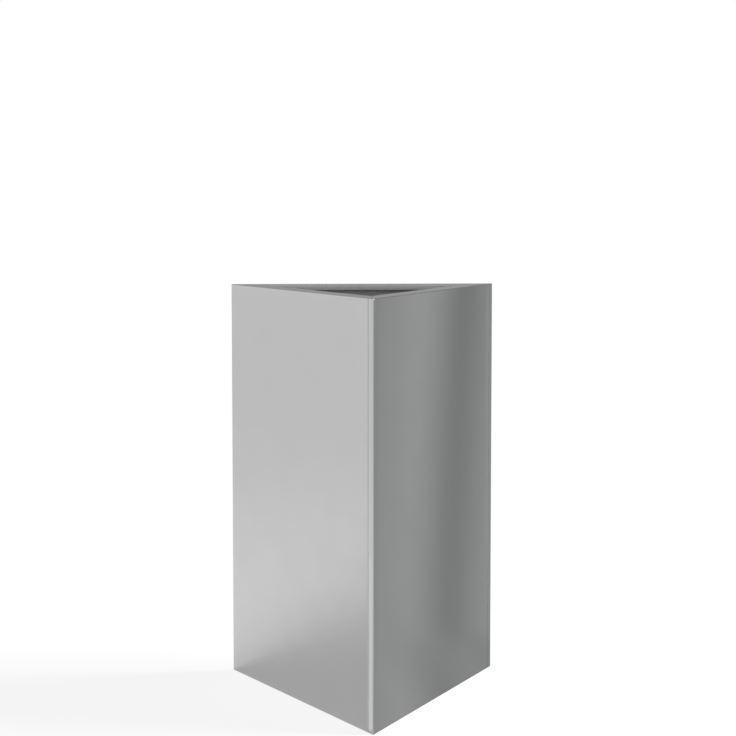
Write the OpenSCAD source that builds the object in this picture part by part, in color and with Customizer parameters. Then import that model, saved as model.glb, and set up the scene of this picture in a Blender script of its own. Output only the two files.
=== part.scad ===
// Tall triangular planter folded from satin sheet steel.
// Three walls of one pattern meet at 60 degree corners. Each wall wraps a narrow strip round the
// corner at its left end, and the strip meets the next wall's face in a straight vertical seam.
// Both edges of a seam turn inwards as flanges, which screws and nuts clamp from the inside.
// A drained base tray stands on the lips of the walls' turned-in feet.
// The origin is on the ground, under the middle of the planter's bounding box. The back wall
// faces +Y and the front corner points to -Y.

/* [Planter] */
// Width across the back, measured over the rounded corners
planter_w = 500; // [400:10:700]
// Height from the ground to the top of the rim
planter_h = 750; // [400:10:1000]

/* [Sheet] */
// Thickness of the steel sheet
sheet_t = 1; // [0.6:0.1:2]
// Inside radius of every fold
fold_r = 0.3; // [0.2:0.1:1.5]

/* [Rim and foot] */
// Depth of the rim turned in at the top of each wall
rim_depth = 35; // [20:1:60]
// Height of the safety lip that hangs from the rim's inner edge
rim_lip = 10; // [5:1:25]
// Depth of the foot turned in at the bottom of each wall
foot_depth = 25; // [18:1:28]
// Height of the lip on the foot's inner edge, which carries the base tray
foot_lip = 12; // [6:1:30]
// Gap left where the turned edges of two walls meet
mitre_gap = 0.5; // [0.3:0.1:2]

/* [Corner seams] */
// Width of the strip that each wall wraps round the corner at its left end
strip_w = 17; // [15:1:24]
// Sheet left all round the washers on a seam flange
flange_margin = 2; // [1:0.5:4]
// Number of screws in each seam
seam_screw_count = 5; // [2:1:8]
// Distance of the end screws of a seam from the ground and from the rim
seam_screw_inset = 60; // [50:5:90]

/* [Base tray] */
// Height of the tray's turned-up edges, with the thickness of its floor
tray_edge_h = 35; // [26:1:60]
// Clearance between the tray's edges and the walls
tray_gap = 0.5; // [0.3:0.1:2]
// Clearance between the tray's cut corners and the seams
tray_corner_gap = 2; // [1:0.5:10]
// Distance of the tray's fixing studs from the corners of the planter
stud_inset = 110; // [70:5:150]
// Diameter of the drain holes
drain_d = 12; // [6:1:16]
// Diameter of the circle that the outer drain holes lie on
drain_circle_d = 160; // [80:5:165]
// Number of drain holes on the circle
drain_count = 6; // [3:1:8]

/* [Fasteners] */
// Thread diameter of the screws, studs and nuts
thread_d = 5; // [4:0.5:6]
// Diameter of the button heads
head_d = 9.5; // [8:0.5:11]
// Height of the button heads
head_h = 2.75; // [2:0.25:4]
// Width of the hexagon socket in a button head, across its flats
socket_af = 3; // [2:0.5:4]
// Depth of the hexagon socket
socket_depth = 1.6; // [1:0.1:1.8]
// Diameter of the washers
washer_d = 10; // [9:0.5:12]
// Thickness of the washers
washer_t = 1; // [0.5:0.1:1.6]
// Width of the nuts across their flats
nut_af = 8; // [7.5:0.5:10]
// Height of the nuts
nut_h = 4; // [3:0.5:5]
// Thread that stands out of a tightened nut
thread_spare = 1.5; // [1:0.5:2]
// Radial clearance of a thread in a drilled hole or a washer
hole_gap = 0.25; // [0.1:0.05:0.6]
// Radial clearance of a thread in its nut
nut_gap = 0.05; // [0.03:0.01:0.1]

/* [Hidden] */
$fn = 48;

corner_angle = 60;
half_corner = corner_angle / 2;
fold_step = 7.5;
outer_r = sheet_t + fold_r;

// Distance along a wall from the sharp corner to where the rounded corner begins
corner_start = outer_r / tan(half_corner);

// Side of the triangle between sharp corners, and its distance from the middle
side = planter_w + 2 * (corner_start - outer_r);
in_radius = side / 2 * tan(half_corner);
planter_d = side * sin(corner_angle) - (outer_r / sin(half_corner) - outer_r);
middle_y = planter_d / 2 - in_radius;

// Seam flanges: their depth and the depth of their holes, from the outer face
flange_depth = outer_r + washer_d + 2 * flange_margin;
hole_depth = outer_r + flange_margin + washer_d / 2;
seam_x = side - strip_w;
seam_pitch = (planter_h - 2 * seam_screw_inset) / (seam_screw_count - 1);
screw_l = washer_t + 2 * sheet_t + nut_h + thread_spare;

// Base tray: the depths where its edges, its flat sheet, its floor and its cut corners begin
tray_z = foot_lip;
tray_in = sheet_t + tray_gap;
tray_flat = tray_in + outer_r;
tray_floor_in = tray_flat + 1;
tray_corner_in = tray_flat + 2;
tray_lap_in = tray_flat + 3;

// Reach of a seam's flanges and screw heads from the sharp corner towards the middle
seam_reach = (strip_w + sheet_t + washer_t + head_h) * cos(half_corner) + flange_depth * sin(half_corner);
tray_end_x = tray_cut_x(tray_corner_in);

// Height and length of the studs
stud_z = tray_z + tray_edge_h / 2;
stud_l = tray_gap + sheet_t + washer_t + nut_h + thread_spare;

// How far the round ends of a nut reach past its flats
nut_ease = 0.2;

// Turn of each wall about the planter's middle
wall_turn = [180, 300, 60];
BACK = 0;
LEFT = 1;
RIGHT = 2;

function reversed(points) = [for (i = [len(points) - 1 : -1 : 0]) points[i]];

// Points of an arc from one angle to another, with both ends
function arc(centre, r, from, to) = [
    let (steps = ceil(abs(to - from) / fold_step))
        for (i = [0 : steps])
            let (a = from + (to - from) * i / steps)
                centre + r * [cos(a), sin(a)]
];

// A point of the corner strip, given along the strip from the sharp corner and in depth
function strip_point(p) = [
    p.x * cos(corner_angle) + p.y * sin(corner_angle),
    p.x * sin(corner_angle) - p.y * cos(corner_angle)
];

// Plan of the upright sheet at a distance into the sheet from its outer face: from the flange
// at the right seam along the face, round the left corner and along the strip to its flange
function upright_path(in) = concat(
    [[seam_x - in, flange_depth]],
    arc([seam_x - outer_r, outer_r], outer_r - in, 0, -90),
    arc([corner_start, outer_r], outer_r - in, 270, 90 + corner_angle),
    [for (p = arc([strip_w - outer_r, outer_r], outer_r - in, -90, 0)) strip_point(p)],
    [strip_point([strip_w - in, flange_depth])]
);

// Section of a turned-in edge, with the depth along X and the height along Y: the fold out of
// the wall, the flat part and the lip on its inner edge
function edge_path(depth, lip, in) = concat(
    arc([outer_r, outer_r], outer_r - in, 180, 270),
    arc([depth - outer_r, outer_r], outer_r - in, 270, 360),
    [[depth - in, lip]]
);

// Section of the tray's edge, its fold and the flat sheet that it shares with the floor
function tray_path(in) = concat(
    [[tray_in + in, tray_edge_h]],
    arc([tray_flat, outer_r], outer_r - in, 180, 270),
    [[tray_lap_in, in]]
);

// Distance along a wall from the sharp corner to the tray's cut corner, at a depth
function tray_cut_x(depth) = (seam_reach + tray_corner_gap - depth * sin(half_corner)) / cos(half_corner);

// Plan of the upright sheet round the left corner and along the flat of the strip
function corner_path(in) = concat(
    arc([corner_start, outer_r], outer_r - in, 270, 90 + corner_angle),
    [strip_point([strip_w - outer_r, in])]
);

// Sheet between its outer path and its inner path
module sheet_between(outer, inner) {
    polygon(concat(outer, reversed(inner)));
}

// Puts children drawn in a wall's own frame in place. In that frame X runs along the wall's
// outer face from its left corner to its right corner, seen from outside, and Y points inwards.
module on_wall(which) {
    translate([0, middle_y, 0])
        rotate([0, 0, wall_turn[which]])
            translate([-side / 2, -in_radius, 0])
                children();
}

// Moves to the frame of the strip round the left corner. In that frame X runs along the
// strip's outer face, away from the corner, and Y points inwards.
module on_strip() {
    rotate([0, 0, corner_angle])
        mirror([0, 1, 0])
            children();
}

// Draws a section of depth and height along X, over a length
module along(length) {
    rotate([90, 0, 90])
        linear_extrude(length)
            children();
}

// Plan of a turned edge on the main face, mitred at both corners
module edge_plan(depth) {
    polygon([
        [corner_start, 0],
        [seam_x - mitre_gap / 2, 0],
        [seam_x - mitre_gap / 2, (strip_w - mitre_gap / 2) * tan(half_corner)],
        [side - depth / tan(half_corner) - mitre_gap, depth],
        [depth / tan(half_corner) + mitre_gap, depth],
        [corner_start + mitre_gap, outer_r],
        [corner_start, outer_r]
    ]);
}

// Plan of the flat edge inside the corner and its strip, slit from its neighbours
module corner_plan() {
    polygon(concat(
        corner_path(0),
        [for (p = [
            [strip_w - mitre_gap / 2, 0],
            [strip_w - mitre_gap / 2, (strip_w - mitre_gap * 3 / 2) * tan(half_corner)],
            [corner_start + mitre_gap, outer_r]
        ]) strip_point(p)],
        [[corner_start, outer_r]]
    ));
}

// Turned edge at the bottom of a wall. It is folded from the face, and flat and square-edged
// from the left corner to the seam.
module turned_edge(depth, lip) {
    intersection() {
        along(side)
            sheet_between(edge_path(depth, lip, 0), edge_path(depth, lip, sheet_t));
        linear_extrude(lip)
            edge_plan(depth);
    }
    linear_extrude(sheet_t)
        corner_plan();
    translate([0, 0, sheet_t])
        linear_extrude(fold_r)
            sheet_between(corner_path(0), corner_path(sheet_t));
}

// Puts children at each screw of a seam, at a distance along the face, with Z along the screw
module at_seam_screws(x) {
    for (i = [0 : seam_screw_count - 1])
        translate([x, hole_depth, seam_screw_inset + i * seam_pitch])
            rotate([0, 90, 0])
                children();
}

// Clearance holes through the seam flange that starts at a distance along the face
module seam_holes(x) {
    at_seam_screws(x - 1)
        cylinder(r = thread_d / 2 + hole_gap, h = sheet_t + 2);
}

// One folded wall in its own frame
module wall() {
    difference() {
        union() {
            translate([0, 0, outer_r])
                linear_extrude(planter_h - 2 * outer_r)
                    sheet_between(upright_path(0), upright_path(sheet_t));
            turned_edge(foot_depth, foot_lip);
            translate([0, 0, planter_h])
                mirror([0, 0, 1])
                    turned_edge(rim_depth, rim_lip);
        }
        seam_holes(seam_x - sheet_t);
        on_strip()
            seam_holes(strip_w - sheet_t);
    }
}

// Button head screw with a hexagon socket. The head's seat is at the origin.
module button_screw() {
    dome_r = (head_d * head_d / 4 + head_h * head_h) / (2 * head_h);
    difference() {
        union() {
            intersection() {
                translate([0, 0, dome_r - head_h])
                    sphere(r = dome_r);
                translate([0, 0, -head_h])
                    cylinder(d = head_d, h = head_h);
            }
            cylinder(d = thread_d, h = screw_l);
        }
        translate([0, 0, -head_h - 1])
            cylinder(d = socket_af / cos(30), h = socket_depth + 1, $fn = 6);
    }
}

// Flat washer with its lower face at the origin
module washer() {
    difference() {
        cylinder(d = washer_d, h = washer_t);
        translate([0, 0, -1])
            cylinder(r = thread_d / 2 + hole_gap, h = washer_t + 2);
    }
}

// Hexagon nut with its lower face at the origin and its corners eased by a dome
module nut() {
    face_r = nut_af / 2 + nut_ease;
    dome_r = sqrt(face_r * face_r + nut_h * nut_h / 4);
    difference() {
        intersection() {
            cylinder(d = nut_af / cos(30), h = nut_h, $fn = 6);
            translate([0, 0, nut_h / 2])
                sphere(r = dome_r);
        }
        translate([0, 0, -1])
            cylinder(r = thread_d / 2 + nut_gap, h = nut_h + 2);
    }
}

// Fasteners of the seam at the right end of a wall
module seam_screws(which) {
    on_wall(which)
        at_seam_screws(seam_x - sheet_t - washer_t)
            button_screw();
}

module seam_washers(which) {
    on_wall(which)
        at_seam_screws(seam_x - sheet_t - washer_t)
            washer();
}

module seam_nuts(which) {
    on_wall(which)
        at_seam_screws(seam_x + sheet_t)
            nut();
}

// Puts children at each tray stud, at a depth from the outer face, with Z pointing inwards
module at_tray_studs(depth) {
    for (which = [BACK, LEFT, RIGHT])
        on_wall(which)
            for (x = [stud_inset, side - stud_inset])
                translate([x, depth, stud_z])
                    rotate([-90, 0, 0])
                        children();
}

module left_wall() {
    color("silver")
        on_wall(LEFT)
            wall();
}

module right_wall() {
    color("silver")
        on_wall(RIGHT)
            wall();
}

module back_wall() {
    color("silver")
        on_wall(BACK)
            wall();
}

// Flat floor of the tray: a triangle with cut corners
module tray_floor() {
    half_w = side / 2 - tray_cut_x(tray_floor_in);
    y = tray_floor_in - in_radius;
    linear_extrude(sheet_t)
        polygon([
            for (turn = wall_turn, x = [-half_w, half_w])
                [x * cos(turn) - y * sin(turn), x * sin(turn) + y * cos(turn)]
        ]);
}

module base_tray() {
    color("lightgray")
        difference() {
            union() {
                translate([0, middle_y, tray_z])
                    tray_floor();
                for (which = [BACK, LEFT, RIGHT])
                    on_wall(which)
                        translate([tray_end_x, 0, tray_z])
                            along(side - 2 * tray_end_x)
                                sheet_between(tray_path(0), tray_path(sheet_t));
            }
            translate([0, middle_y, tray_z - 1]) {
                cylinder(d = drain_d, h = sheet_t + 2);
                for (i = [0 : drain_count - 1])
                    rotate([0, 0, 90 + i * 360 / drain_count])
                        translate([drain_circle_d / 2, 0, 0])
                            cylinder(d = drain_d, h = sheet_t + 2);
            }
            at_tray_studs(sheet_t)
                cylinder(r = thread_d / 2 + hole_gap, h = tray_gap + sheet_t + 1);
        }
}

// The front seam is at the right end of the left wall, and so on round the planter
module front_seam_screws() {
    color("gainsboro")
        seam_screws(LEFT);
}

module left_seam_screws() {
    color("gainsboro")
        seam_screws(BACK);
}

module right_seam_screws() {
    color("gainsboro")
        seam_screws(RIGHT);
}

module front_seam_washers() {
    color("gray")
        seam_washers(LEFT);
}

module left_seam_washers() {
    color("gray")
        seam_washers(BACK);
}

module right_seam_washers() {
    color("gray")
        seam_washers(RIGHT);
}

module front_seam_nuts() {
    color("darkgray")
        seam_nuts(LEFT);
}

module left_seam_nuts() {
    color("darkgray")
        seam_nuts(BACK);
}

module right_seam_nuts() {
    color("darkgray")
        seam_nuts(RIGHT);
}

// Threaded studs welded to the inside of the walls
module tray_studs() {
    color("gainsboro")
        at_tray_studs(sheet_t)
            cylinder(d = thread_d, h = stud_l);
}

module tray_washers() {
    color("gray")
        at_tray_studs(tray_in + sheet_t)
            washer();
}

module tray_nuts() {
    color("darkgray")
        at_tray_studs(tray_in + sheet_t + washer_t)
            nut();
}

left_wall();
right_wall();
back_wall();
base_tray();
front_seam_screws();
left_seam_screws();
right_seam_screws();
front_seam_washers();
left_seam_washers();
right_seam_washers();
front_seam_nuts();
left_seam_nuts();
right_seam_nuts();
tray_studs();
tray_washers();
tray_nuts();
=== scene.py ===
"""Visual model of a tall triangular planter folded from satin stainless steel sheet.

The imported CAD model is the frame: metres, Z up, the back wall towards +Y and the front corner
towards -Y. Here every sheet and fastener gets its folds, eased edges, threads and finish, and a
plain studio stands round it.
"""

from __future__ import annotations

import logging
import math
import random
from collections.abc import Callable, Iterable, Sequence
from dataclasses import dataclass
from enum import Enum, IntEnum

import bmesh
import bpy
from bmesh.geometry import intersect_face_point
from bmesh.types import BMEdge, BMesh, BMFace, BMVert
from mathutils import Euler, Matrix, Vector, noise
from mathutils.geometry import intersect_point_line


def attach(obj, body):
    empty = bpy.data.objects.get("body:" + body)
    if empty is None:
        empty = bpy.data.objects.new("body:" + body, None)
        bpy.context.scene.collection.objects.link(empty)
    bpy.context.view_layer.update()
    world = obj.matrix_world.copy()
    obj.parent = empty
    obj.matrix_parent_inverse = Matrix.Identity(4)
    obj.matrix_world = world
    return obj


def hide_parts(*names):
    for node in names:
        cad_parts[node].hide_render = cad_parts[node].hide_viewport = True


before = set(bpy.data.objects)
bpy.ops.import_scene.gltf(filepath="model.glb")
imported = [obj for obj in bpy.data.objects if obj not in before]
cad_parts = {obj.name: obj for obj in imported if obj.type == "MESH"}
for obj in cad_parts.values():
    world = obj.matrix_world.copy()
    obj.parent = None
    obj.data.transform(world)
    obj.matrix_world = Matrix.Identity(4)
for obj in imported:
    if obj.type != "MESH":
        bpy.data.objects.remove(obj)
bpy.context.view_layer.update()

LOG = logging.getLogger("planter")

# The frame's only body, the photograph's width and height in pixels, and millimetres in a metre
BODY = "root"
IMAGE_PX = 736
MM = 1000

# The plan's corner
CORNER = math.radians(60)
HALF_CORNER = CORNER / 2
TAN_HALF = math.tan(HALF_CORNER)

# Directions in a wall's frame, and the turns that lay a fastener drawn along Z along a wall or through it
ALONG, INWARD, UP = Vector((1, 0, 0)), Vector((0, 1, 0)), Vector((0, 0, 1))
ALONG_WALL = Matrix.Rotation(math.radians(90), 4, "Y")
THROUGH_WALL = Matrix.Rotation(math.radians(-90), 4, "X")

# Degrees in a step of a fold, and the angles and cosines that tell flat, sharp and cut apart
FOLD_STEP = 7.5
FLAT_ENOUGH = math.cos(math.radians(5))
SAME_PLANE = 0.999
SHARP = math.radians(35)
CUT_EDGE = math.radians(60)

# Distances under which points are one, or lie on a plane, and the radius of a ring that stands for a point
WELD = 1e-6
TOUCH = 1e-5
POLE = 1e-7

# Points round a hole, a screw or stud, and a washer or nut, and how many radii a hole's new faces reach
HOLE_SEGMENTS = 32
SCREW_SEGMENTS = 24
WASHER_SEGMENTS = 48
HOLE_REACH = 1.1

# The part that scratches have in the gloss beside the clouds, the range of both together, and the
# quarter turn that draws reflections out across the grain
SCRATCH_SHARE = 0.6
GLOSS_RANGE = (0.4, 1.2)
ACROSS_GRAIN = 0.25

# Names of the flat sheet's coordinates and of the mark on its folds, where shade is painted, which the
# finishes read
SHEET_MAP = "sheet"
FOLD_SHADE_MARK = "painted_fold_shade"


def unit(number: float) -> float:
    """Limits a number to between 0 and 1."""
    return min(1.0, max(0.0, number))


def linear(hex_colour: str) -> tuple[float, float, float, float]:
    """Turns an sRGB hex colour to linear light.

    Args:
        hex_colour: six hex digits with a leading #.

    Returns:
        Linear red, green and blue, and an alpha of 1.
    """
    parts = [int(hex_colour[i : i + 2], 16) / 255 for i in (1, 3, 5)]
    red, green, blue = (c / 12.92 if c <= 0.04045 else ((c + 0.055) / 1.055) ** 2.4 for c in parts)
    return (red, green, blue, 1.0)


@dataclass(frozen=True)
class PlanterSizes:
    """Sizes of the planter, in metres, the same as the CAD model's."""

    width: float = 0.500
    height: float = 0.750
    sheet: float = 0.001
    fold_radius: float = 0.0003
    rim_depth: float = 0.035
    rim_lip: float = 0.010
    foot_depth: float = 0.025
    foot_lip: float = 0.012
    mitre_gap: float = 0.0005
    strip: float = 0.017
    flange_margin: float = 0.002
    seam_screws: int = 5
    seam_screw_inset: float = 0.060
    tray_edge: float = 0.035
    tray_gap: float = 0.0005
    tray_corner_gap: float = 0.002
    tray_corner_step: float = 0.002
    stud_inset: float = 0.110
    drain: float = 0.012
    drain_circle: float = 0.160
    drains: int = 6
    thread: float = 0.005
    head: float = 0.0095
    head_height: float = 0.00275
    socket_flats: float = 0.003
    socket_depth: float = 0.0016
    washer: float = 0.010
    washer_sheet: float = 0.001
    nut_flats: float = 0.008
    nut_height: float = 0.004
    thread_spare: float = 0.0015
    washer_play: float = 0.00025
    ease: float = 0.00012

    @property
    def outer_radius(self) -> float:
        """Outer radius of a fold."""
        return self.sheet + self.fold_radius

    @property
    def corner_start(self) -> float:
        """Distance from a sharp corner to where the rounded one begins."""
        return self.outer_radius / TAN_HALF

    @property
    def side(self) -> float:
        """Side of the triangle between its sharp corners."""
        return self.width + 2 * (self.corner_start - self.outer_radius)

    @property
    def in_radius(self) -> float:
        """Distance of the walls' outer faces from the middle."""
        return self.side / 2 * TAN_HALF

    @property
    def middle_y(self) -> float:
        """Place of the triangle's middle along Y."""
        corner = self.outer_radius / math.sin(HALF_CORNER) - self.outer_radius
        return (self.side * math.sin(CORNER) - corner) / 2 - self.in_radius

    @property
    def flange_depth(self) -> float:
        """Depth of a seam flange from the outer face."""
        return self.outer_radius + self.washer + 2 * self.flange_margin

    @property
    def seam_x(self) -> float:
        """Distance of a seam along the wall from its left sharp corner."""
        return self.side - self.strip

    @property
    def seam_hole_depth(self) -> float:
        """Depth of the seam screws from the outer face."""
        return self.outer_radius + self.flange_margin + self.washer / 2

    @property
    def seam_heights(self) -> list[float]:
        """Heights of the screws in a seam."""
        pitch = (self.height - 2 * self.seam_screw_inset) / (self.seam_screws - 1)
        return [self.seam_screw_inset + i * pitch for i in range(self.seam_screws)]

    @property
    def seam_screw_length(self) -> float:
        """Length of a seam screw under its head."""
        return self.washer_sheet + 2 * self.sheet + self.nut_height + self.thread_spare

    @property
    def tray_in(self) -> float:
        """Depth of the tray's edges from the walls' outer faces."""
        return self.sheet + self.tray_gap

    @property
    def tray_flat(self) -> float:
        """Depth where the tray's floor is flat."""
        return self.tray_in + self.outer_radius

    @property
    def tray_corner_in(self) -> float:
        """Depth where the tray's cut corners begin."""
        return self.tray_flat + self.tray_corner_step

    @property
    def tray_end_x(self) -> float:
        """Distance along a wall from the sharp corner to the end of the tray's edge.

        Returns:
            The distance, which keeps the edge clear of the seam screws' heads.
        """
        across = (self.strip + self.sheet + self.washer_sheet + self.head_height) * math.cos(HALF_CORNER)
        reach = across + self.flange_depth * math.sin(HALF_CORNER) + self.tray_corner_gap
        return (reach - self.tray_corner_in * math.sin(HALF_CORNER)) / math.cos(HALF_CORNER)

    @property
    def hole_radius(self) -> float:
        """Radius of the clearance holes for screws and studs."""
        return self.thread / 2 + self.washer_play

    @property
    def stud_height(self) -> float:
        """Height of the tray's studs."""
        return self.foot_lip + self.tray_edge / 2

    @property
    def stud_xs(self) -> tuple[float, float]:
        """Distances of the tray's studs along a wall from its left sharp corner."""
        return self.stud_inset, self.side - self.stud_inset

    @property
    def stud_length(self) -> float:
        """Length of a tray stud from the wall's inner face."""
        return self.tray_gap + self.sheet + self.washer_sheet + self.nut_height + self.thread_spare


class Side(Enum):
    """The three walls, each with its name and its turn about the planter's middle in degrees."""

    BACK = ("back", 180.0)
    LEFT = ("left", 300.0)
    RIGHT = ("right", 60.0)

    def __init__(self, label: str, turn_degrees: float) -> None:
        """Keeps the wall's name and turn."""
        self.label, self.turn_degrees = label, turn_degrees

    @property
    def order(self) -> int:
        """The wall's number, from 1, which sets its bow and grain apart from the others'."""
        return 1 + list(Side).index(self)

    def place(self, sizes: PlanterSizes) -> Matrix:
        """Gives the matrix from the wall's own frame to the planter's.

        In the wall's frame X runs along the outer face from its left corner, seen from outside,
        Y points inwards and Z up.

        Args:
            sizes: the planter's sizes.

        Returns:
            The 4x4 matrix.
        """
        turn = Matrix.Rotation(math.radians(self.turn_degrees), 4, "Z")
        start = Matrix.Translation((-sizes.side / 2, -sizes.in_radius, 0))
        return Matrix.Translation((0, sizes.middle_y, 0)) @ turn @ start


class Seam(Enum):
    """The three corner seams, each with its name and the wall whose right end is in it."""

    FRONT = ("front", Side.LEFT)
    LEFT = ("left", Side.BACK)
    RIGHT = ("right", Side.RIGHT)

    def __init__(self, label: str, wall: Side) -> None:
        """Keeps the seam's name and wall."""
        self.label, self.wall = label, wall


def add_object(name: str, data: bpy.types.ID) -> bpy.types.Object:
    """Adds an object to the scene.

    Args:
        name: its name.
        data: its mesh, camera or light.

    Returns:
        The object.
    """
    thing = bpy.data.objects.new(name, data)
    bpy.context.scene.collection.objects.link(thing)
    return thing


# Materials


def start_material(name: str) -> tuple[bpy.types.Material, bpy.types.NodeTree]:
    """Starts a material with no nodes.

    Args:
        name: its name.

    Returns:
        The material and its node tree.
    """
    material = bpy.data.materials.new(name)
    material.use_nodes = True
    material.node_tree.nodes.clear()
    return material, material.node_tree


def add_node(
    tree: bpy.types.NodeTree, kind: str, settings: dict[str, str] | None = None, **inputs: object
) -> bpy.types.Node:
    """Adds a shader node with its settings and its inputs.

    Args:
        tree: the node tree.
        kind: the node's type name after ShaderNode.
        settings: properties of the node.
        inputs: for each input a value, an output socket, or a node for its first output in use. Inputs
            are named with _ for spaces, or i0, i1 and so on by place.

    Returns:
        The new node.
    """
    node = tree.nodes.new(f"ShaderNode{kind}")
    for name, value in (settings or {}).items():
        setattr(node, name, value)
    for name, value in inputs.items():
        by_place = name[0] == "i" and name[1:].isdigit()
        socket = node.inputs[int(name[1:])] if by_place else node.inputs[name.replace("_", " ")]
        if isinstance(value, bpy.types.Node):
            value = next(output for output in value.outputs if output.enabled)
        if isinstance(value, bpy.types.NodeSocket):
            tree.links.new(value, socket)
        else:
            socket.default_value = value
    return node


class Follows(Enum):
    """What a finish's pattern follows: the flat sheet before it was folded, or the object."""

    SHEET = "sheet"
    OBJECT = "object"


@dataclass(frozen=True)
class Grain:
    """A directional grain: how long its scratches are, how far apart and how deep."""

    length_mm: float
    spacing_mm: float
    depth_mm: float


@dataclass(frozen=True)
class SteelFinish:
    """A finish of stainless steel: its colour, gloss and grain, and the painted shade on its folds if it has
    any.
    """

    name: str
    colour: str
    dull_colour: str
    roughness: float
    roughness_spread: float
    anisotropy: float
    grain: Grain
    mottle_mm: float
    follows: Follows = Follows.SHEET
    fold_shade_colour: str = ""

    def make(self) -> bpy.types.Material:
        """Builds the material.

        Returns:
            A metal whose grain runs along the sheet, clouded slightly as rolled steel is.
        """
        material, tree = start_material(self.name)
        if self.follows is Follows.SHEET:
            place = add_node(tree, "UVMap", {"uv_map": SHEET_MAP})
        else:
            place = add_node(tree, "TexCoord").outputs["Object"]
        along, across = MM / self.grain.length_mm, MM / self.grain.spacing_mm
        stretched = add_node(tree, "Mapping", Vector=place, Scale=(along, across, across))
        scratches = add_node(tree, "TexNoise", Vector=stretched, Scale=1.0, Detail=3.0, Roughness=0.6)
        mottle = MM / self.mottle_mm
        clouds = add_node(tree, "TexNoise", Vector=place, Scale=mottle, Detail=2.0, Roughness=0.5)
        both = add_node(
            tree, "Math", {"operation": "MULTIPLY_ADD"}, i0=scratches, i1=SCRATCH_SHARE, i2=clouds
        )
        gloss = {"Value": both, "From_Min": GLOSS_RANGE[0], "From_Max": GLOSS_RANGE[1]}
        low, high = self.roughness - self.roughness_spread, self.roughness + self.roughness_spread
        roughness = add_node(tree, "MapRange", **gloss, To_Min=low, To_Max=high)
        shade = add_node(tree, "MapRange", **gloss)
        colours = {"i6": linear(self.colour), "i7": linear(self.dull_colour)}
        colour = add_node(tree, "Mix", {"data_type": "RGBA"}, i0=shade, **colours)
        # The folds are painted darker: painted shade in the creases and seams.
        if self.fold_shade_colour:
            folds = add_node(tree, "Attribute", {"attribute_name": FOLD_SHADE_MARK}).outputs["Fac"]
            colours = {"i6": colour, "i7": linear(self.fold_shade_colour)}
            colour = add_node(tree, "Mix", {"data_type": "RGBA"}, i0=folds, **colours)
        relief = add_node(tree, "Bump", Height=scratches, Distance=self.grain.depth_mm / MM, Strength=1.0)
        steel = add_node(
            tree, "BsdfPrincipled", Base_Color=colour, Metallic=1.0, Roughness=roughness, Normal=relief,
            Anisotropic=self.anisotropy, Anisotropic_Rotation=ACROSS_GRAIN,
        )
        if self.follows is Follows.SHEET:
            grain_way = add_node(tree, "Tangent", {"direction_type": "UV_MAP", "uv_map": SHEET_MAP})
            tree.links.new(grain_way.outputs["Tangent"], steel.inputs["Tangent"])
        add_node(tree, "OutputMaterial", Surface=steel)
        return material


# 304 stainless sheet with a satin belt finish. Its fine horizontal scratches draw reflections out
# upwards and downwards. The real ones are about 0.1 mm apart, drawn coarser so that they show. The
# folds are painted darker: painted shade in the creases, corners and seams.
SATIN_SHEET = SteelFinish(
    name="satin_304_stainless_sheet", colour="#C9C9C9", dull_colour="#C5C5C5", fold_shade_colour="#AAAAAA",
    roughness=0.25, roughness_spread=0.012, anisotropy=0.76, grain=Grain(220.0, 2.5, 0.001), mottle_mm=70.0,
)

# The same steel as it leaves the rolls, a little greyer and more even, for the hidden tray.
MILL_SHEET = SteelFinish(
    name="mill_finish_304_stainless_sheet", colour="#BFC1C3", dull_colour="#B4B6B8",
    roughness=0.38, roughness_spread=0.04, anisotropy=0.15, grain=Grain(60.0, 1.5, 0.002), mottle_mm=30.0,
)

# A2 stainless, cold headed and thread rolled: bright, with faint marks of the tools.
TURNED_STEEL = SteelFinish(
    name="cold_headed_a2_stainless", colour="#C6C6C5", dull_colour="#B9B9B8", follows=Follows.OBJECT,
    roughness=0.24, roughness_spread=0.05, anisotropy=0.0, grain=Grain(3.0, 0.4, 0.002), mottle_mm=2.5,
)

# A2 stainless, stamped and tumbled, which leaves the washers and nuts duller than the screws.
TUMBLED_STEEL = SteelFinish(
    name="tumbled_a2_stainless", colour="#B4B4B3", dull_colour="#A4A4A3", follows=Follows.OBJECT,
    roughness=0.36, roughness_spread=0.06, anisotropy=0.0, grain=Grain(1.5, 0.8, 0.004), mottle_mm=2.0,
)


# Modelling helpers


class Region(IntEnum):
    """Parts of a folded sheet that are told apart while it is worked."""

    UPRIGHT = 0
    EDGE_FOLD = 1
    MAIN_EDGE = 2
    STRIP_EDGE = 3


def verts_of(edges: Iterable[BMEdge]) -> list[BMVert]:
    """Lists the vertices of some edges, each once, in a steady order."""
    return list(dict.fromkeys(v for edge in edges for v in edge.verts))


def extrude(bm: BMesh, edges: list[BMEdge]) -> tuple[list[BMEdge], list[BMVert]]:
    """Extrudes some free edges where they are.

    Args:
        bm: the bmesh that they are in.
        edges: the edges.

    Returns:
        The new free edges and their vertices.
    """
    made = bmesh.ops.extrude_edge_only(bm, edges=edges)["geom"]
    verts = [g for g in made if isinstance(g, BMVert)]
    return [g for g in made if isinstance(g, BMEdge) and all(v in verts for v in g.verts)], verts


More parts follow.
